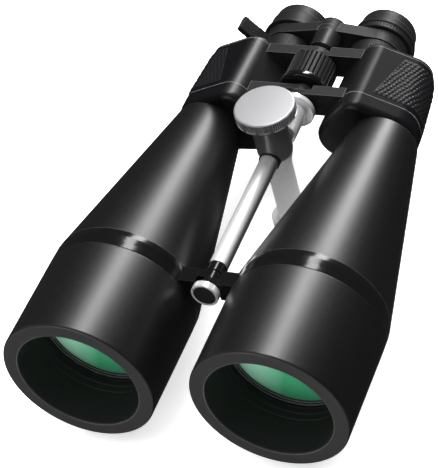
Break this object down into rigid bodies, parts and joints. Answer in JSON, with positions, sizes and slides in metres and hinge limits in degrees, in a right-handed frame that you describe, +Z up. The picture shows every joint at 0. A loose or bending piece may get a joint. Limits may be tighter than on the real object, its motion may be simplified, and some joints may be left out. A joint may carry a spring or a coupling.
{
  "type": "astronomy binoculars",
  "caption": "Large zoom porro-prism binoculars with large green-coated objectives, long tapered tubes, folding centre hinge, focus wheel, zoom lever and a sliding tripod post.",
  "frame": {"origin": "centre of the tripod socket's mouth, under the foot of the tripod post", "axes": "+Y along the optical axes from the objectives to the eyepieces, +X to the right seen from the front, +Z up"},
  "size_m": [0.2258, 0.3456, 0.1043],
  "materials": {
    "satin_black": "satin black lacquer",
    "gloss_black": "gloss black lacquer",
    "matte_black": "matte black anodised",
    "housing_black": "satin black paint on die casting",
    "plate_black": "black, finely brushed",
    "ring_black": "matte black moulding",
    "pebbled_leather": "pebbled black covering",
    "rubber_black": "matte black rubber",
    "wheel_black": "gloss black",
    "spindle_black": "satin black",
    "nylon_black": "matte nylon",
    "chrome": "polished",
    "rod_steel": "satin",
    "clamp_steel": "satin",
    "knob_aluminium": "fine satin",
    "brass": "plain",
    "coated_glass": "green anti-reflection coating",
    "eye_glass": "coated",
    "prism_glass": "clear"
  },
  "bodies": {
    "centre": {"centre_rod": "rod_steel", "front_hub_ring": "chrome", "front_hub_cap": "matte_black", "front_hub_bush": "gloss_black", "rear_rod_collar": "chrome", "hinge_shaft": "rod_steel"},
    "left_barrel": {"left_hood": "satin_black", "left_band_arm": "gloss_black", "left_cone_tube": "satin_black", "left_lens_cell": "matte_black", "left_retaining_ring": "matte_black", "left_objective_doublet": "coated_glass", "left_front_cover": "housing_black", "left_prism_housing": "housing_black", "left_rear_cover": "housing_black", "left_front_prism": "prism_glass", "left_rear_prism": "prism_glass", "left_prism_shelf": "matte_black", "left_grip_cover": "pebbled_leather", "left_front_hinge_plate": "plate_black", "left_rear_hinge_plate": "plate_black"},
    "right_barrel": {"right_hood": "satin_black", "right_band_arm": "gloss_black", "right_cone_tube": "satin_black", "right_lens_cell": "matte_black", "right_retaining_ring": "matte_black", "right_objective_doublet": "coated_glass", "right_front_cover": "housing_black", "right_prism_housing": "housing_black", "right_rear_cover": "housing_black", "right_front_prism": "prism_glass", "right_rear_prism": "prism_glass", "right_prism_shelf": "matte_black", "right_grip_cover": "pebbled_leather", "right_front_hinge_plate": "plate_black", "right_rear_hinge_plate": "plate_black"},
    "left_eyepiece": {"left_eyepiece_tube": "plate_black", "left_bridge_arm": "plate_black", "left_eyecup": "rubber_black", "left_eye_lens": "eye_glass"},
    "right_eyepiece": {"right_eyepiece_tube": "plate_black", "right_bridge_arm": "plate_black", "right_eyecup": "rubber_black"},
    "left_zoom_ring": {"left_zoom_ring": "ring_black", "zoom_lever": "ring_black"},
    "right_zoom_ring": {"right_zoom_ring": "ring_black"},
    "left_zoom_lens": {"left_zoom_lens_cell": "prism_glass"},
    "right_zoom_lens": {"right_zoom_lens_cell": "prism_glass"},
    "diopter_ring": {"diopter_ring": "rubber_black"},
    "diopter_lens": {"right_eye_lens": "eye_glass"},
    "focus_wheel": {"focus_wheel": "wheel_black", "focus_wheel_grip": "rubber_black"},
    "focus_spindle": {"focus_spindle": "spindle_black", "bridge_cap_nut": "gloss_black"},
    "clamp_liner": {"clamp_liner": "nylon_black"},
    "clamp_post": {"clamp_block_post": "clamp_steel", "clamp_foot": "clamp_steel"},
    "clamp_screw": {"clamp_pad": "brass"},
    "clamp_knob": {"clamp_knob": "knob_aluminium", "clamp_stud": "rod_steel"}
  },
  "joints": [
    {"name": "left_fold", "type": "hinge", "parent": "centre", "child": "left_barrel", "pos_m": [0, 0, 0.066], "axis": [0, 1, 0], "range_deg": [-12, 12]},
    {"name": "right_fold", "type": "hinge", "parent": "centre", "child": "right_barrel", "pos_m": [0, 0, 0.066], "axis": [0, 1, 0], "range_deg": [-12, 12]},
    {"name": "focus_turn", "type": "hinge", "parent": "centre", "child": "focus_wheel", "pos_m": [0, 0.0695, 0.066], "axis": [0, 1, 0], "range_deg": [-180, 180]},
    {"name": "spindle_travel", "type": "slide", "parent": "centre", "child": "focus_spindle", "axis": [0, 1, 0], "range_m": [-0.004, 0.004]},
    {"name": "left_focus", "type": "slide", "parent": "left_barrel", "child": "left_eyepiece", "axis": [0, 1, 0], "range_m": [-0.004, 0.004]},
    {"name": "right_focus", "type": "slide", "parent": "right_barrel", "child": "right_eyepiece", "axis": [0, 1, 0], "range_m": [-0.004, 0.004]},
    {"name": "zoom_turn", "type": "hinge", "parent": "left_eyepiece", "child": "left_zoom_ring", "pos_m": [-0.0322, 0.1055, 0.05], "axis": [0, 1, 0], "range_deg": [0, 65]},
    {"name": "right_zoom_turn", "type": "hinge", "parent": "right_eyepiece", "child": "right_zoom_ring", "pos_m": [0.0322, 0.1055, 0.05], "axis": [0, 1, 0], "range_deg": [0, 65]},
    {"name": "left_zoom_travel", "type": "slide", "parent": "left_eyepiece", "child": "left_zoom_lens", "axis": [0, 1, 0], "range_m": [0, 0.008]},
    {"name": "right_zoom_travel", "type": "slide", "parent": "right_eyepiece", "child": "right_zoom_lens", "axis": [0, 1, 0], "range_m": [0, 0.008]},
    {"name": "diopter_turn", "type": "hinge", "parent": "right_eyepiece", "child": "diopter_ring", "pos_m": [0.0322, 0.1255, 0.05], "axis": [0, 1, 0], "range_deg": [-60, 60]},
    {"name": "diopter_travel", "type": "slide", "parent": "right_eyepiece", "child": "diopter_lens", "axis": [0, 1, 0], "range_m": [-0.0012, 0.0012]},
    {"name": "clamp_slide", "type": "slide", "parent": "centre", "child": "clamp_liner", "axis": [0, -1, 0], "range_m": [0, 0.075]},
    {"name": "post_swing", "type": "hinge", "parent": "clamp_liner", "child": "clamp_post", "pos_m": [0, 0, 0.066], "axis": [0, 1, 0], "range_deg": [-10, 10]},
    {"name": "clamp_screw_travel", "type": "slide", "parent": "clamp_post", "child": "clamp_screw", "axis": [0, 0, 1], "range_m": [0, 0.0015]},
    {"name": "knob_turn", "type": "hinge", "parent": "clamp_screw", "child": "clamp_knob", "pos_m": [0, 0, 0.1], "axis": [0, 0, 1], "range_deg": [0, 360]}
  ],
  "couplings": [
    {"joint": "right_fold", "follows": "left_fold", "ratio": -1},
    {"joint": "spindle_travel", "follows": "focus_turn", "m_per_rad": 0.00127},
    {"joint": "left_focus", "follows": "focus_turn", "m_per_rad": 0.00127},
    {"joint": "right_focus", "follows": "focus_turn", "m_per_rad": 0.00127},
    {"joint": "right_zoom_turn", "follows": "zoom_turn", "ratio": 1},
    {"joint": "left_zoom_travel", "follows": "zoom_turn", "m_per_rad": 0.007},
    {"joint": "right_zoom_travel", "follows": "zoom_turn", "m_per_rad": 0.007},
    {"joint": "diopter_travel", "follows": "diopter_turn", "m_per_rad": 0.0011},
    {"joint": "clamp_screw_travel", "follows": "knob_turn", "m_per_rad": 0.000238}
  ]
}
